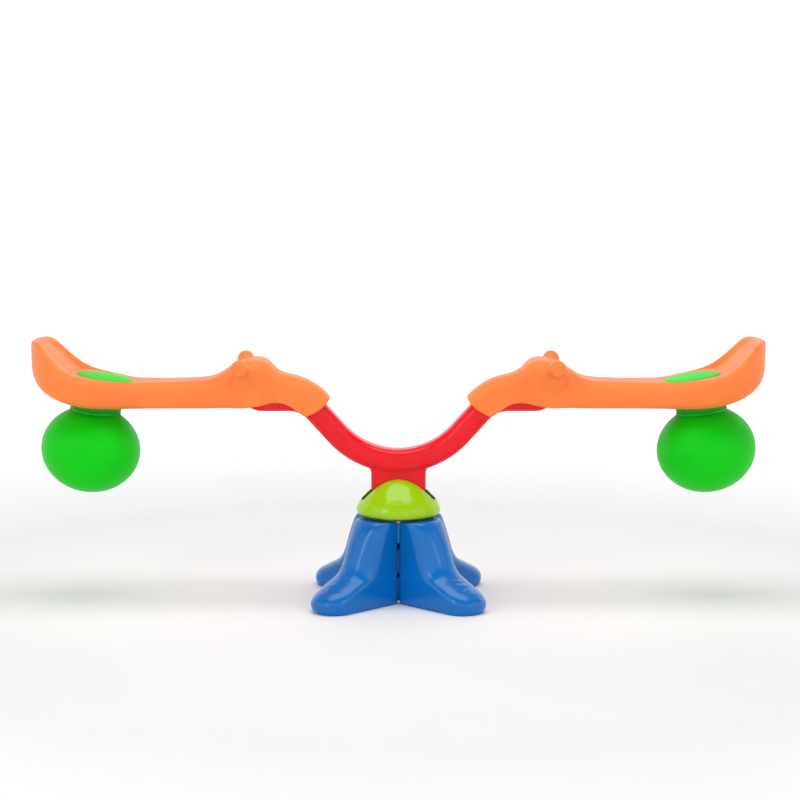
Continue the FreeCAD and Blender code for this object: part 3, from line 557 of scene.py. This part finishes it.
def make_lands(name, turn):
    """The raised lands where two neighbouring feet press on each other."""
    verts, faces = [], []
    for near, far, low, high in LANDS:
        corner = (-LAND_HALF, near * MM, low * MM)
        block = rounded_block(corner, (LAND_HALF, far * MM, high * MM), LAND_RADIUS)
        faces += [tuple(len(verts) + k for k in face) for face in ring_faces(4, 4 * LAND_CORNER_POINTS)]
        verts += block
    c, s = math.cos(turn), math.sin(turn)
    turned = [(c * x - s * y, s * x + c * y, z) for x, y, z in verts]
    give(mesh_object(name, turned, faces), "base", "blue_plastic")


for k, name in enumerate(("rear", "left", "front", "right")):
    make_lands(f"leg_lands_{name}", math.pi / 2 * k)


# ---------------------------------------------------------------- dome and beam

DOME_STEP = 1.6 * MM
BEAM_STEP = 2.2 * MM

moulding("turret_dome", DOME_STEP, "turret", "lime_plastic", even=5, soften=2)
moulding("centre_beam", BEAM_STEP, "beam", "red_plastic", even=6, soften=2, fill=25)


# ---------------------------------------------------------------- seats, balls and discs

SEAT_STEP = 2.4 * MM
SEAT_EVEN, SEAT_FILL, SEAT_SOFTEN = 8, 70, 5
HUMP_RISES, HUMP_ENDS = (0.2, 0.25), (0.35, 0.4)
BOWL_STARTS = (0.5, 0.56)
FILL_ELSEWHERE = 0.06
SOFT_ELSEWHERE, SOFT_HUMP, SOFT_BOWL = 0.5, 0.5, -0.2
BALL_STEP = 2.6 * MM
DISC_STEP = 1.0 * MM
DISC_SINK = 2.0 * MM


def make_seat(node, x_side):
    """The moulded seat: rounded rim, and a hump and grips that run into one another."""
    grid = Grid(remeshed(node, SEAT_STEP))
    reach = grid.co[:, 0] * x_side
    grid.even(SEAT_EVEN)
    hump = step_curve(reach, *HUMP_RISES) * (1 - step_curve(reach, *HUMP_ENDS))
    bowl = step_curve(reach, *BOWL_STARTS)
    grid.fill(SEAT_FILL, (FILL_ELSEWHERE + (1 - FILL_ELSEWHERE) * hump)[:, None])
    grid.soften(SEAT_SOFTEN, (SOFT_ELSEWHERE + SOFT_HUMP * hump + SOFT_BOWL * bowl)[:, None])
    give(grid.done(node), "beam", "orange_plastic", node)


for side, x_side in SIDES:
    make_seat(f"seat_{side}", x_side)

for side, _ in SIDES:
    moulding(f"bumper_ball_{side}", BALL_STEP, "beam", "ball_vinyl", even=10, soften=3)
    moulding(f"seat_disc_{side}", DISC_STEP, "beam", "disc_plastic", even=4, soften=2, sink=DISC_SINK)


# ---------------------------------------------------------------- the CAD nodes that stay

for node, obj in NODES.items():
    if not obj.hide_render:
        obj.data.materials.clear()
        obj.data.materials.append(MATERIALS[NODE_SLOT[node]])


# ---------------------------------------------------------------- floor and light

FLOOR_RINGS = (2.4, 1.2, 0.4)
FLOOR_FLAT, FLOOR_CURVE, WALL_TOP = 5.2, 2.4, 6.0
FLOOR_TURNS, CURVE_STEPS = 96, 16
GLOW_FROM_TO = (1.1, 2.8)
GLOW = 0.78
WORLD_STRENGTH = 0.3

# Each lamp's name, place, what it points at, width, height and power.
LAMPS = (
    ("overhead", (0, -0.2, 2.6), (0, 0, 0.3), 2.2, 1.6, 60),
    ("key_left", (-1.9, -2.4, 1.9), (0, 0, 0.3), 0.5, 1.2, 18),
    ("key_right", (2.3, -2.2, 1.5), (0, 0, 0.3), 0.35, 1.0, 8),
    ("back", (0.5, 2.4, 2.2), (0, 0, 0.4), 1.8, 1.0, 12),
)


def sweep():
    """A round pale floor that curves up into a wall on every side, ring by ring from the wall's top."""
    profile = [(FLOOR_FLAT + FLOOR_CURVE, WALL_TOP)]
    for k in range(CURVE_STEPS, -1, -1):
        turn = math.pi / 2 * k / CURVE_STEPS
        profile.append((FLOOR_FLAT + FLOOR_CURVE * math.sin(turn), FLOOR_CURVE * (1 - math.cos(turn))))
    profile += [(radius, 0) for radius in FLOOR_RINGS]
    turns = [2 * math.pi * k / FLOOR_TURNS for k in range(FLOOR_TURNS)]
    verts = [(radius * math.cos(turn), radius * math.sin(turn), z) for radius, z in profile for turn in turns]
    return mesh_object("sweep", verts, ring_faces(len(profile), FLOOR_TURNS, closed_first=False))


floor = sweep()
floor.data.materials.append(paper())

for name, place, aim, width, height, power in LAMPS:
    lamp = bpy.data.lights.new(name, "AREA")
    lamp.shape = "RECTANGLE"
    lamp.size, lamp.size_y, lamp.energy = width, height, power
    obj = link(bpy.data.objects.new(name, lamp))
    obj.location = place
    obj.rotation_euler = (Vector(aim) - Vector(place)).to_track_quat("-Z", "Y").to_euler()

world = bpy.data.worlds.new("studio")
SCENE.world = world
world.use_nodes = True
sky = world.node_tree.nodes["Background"]
sky.inputs["Color"].default_value = (1, 1, 1, 1)
sky.inputs["Strength"].default_value = WORLD_STRENGTH
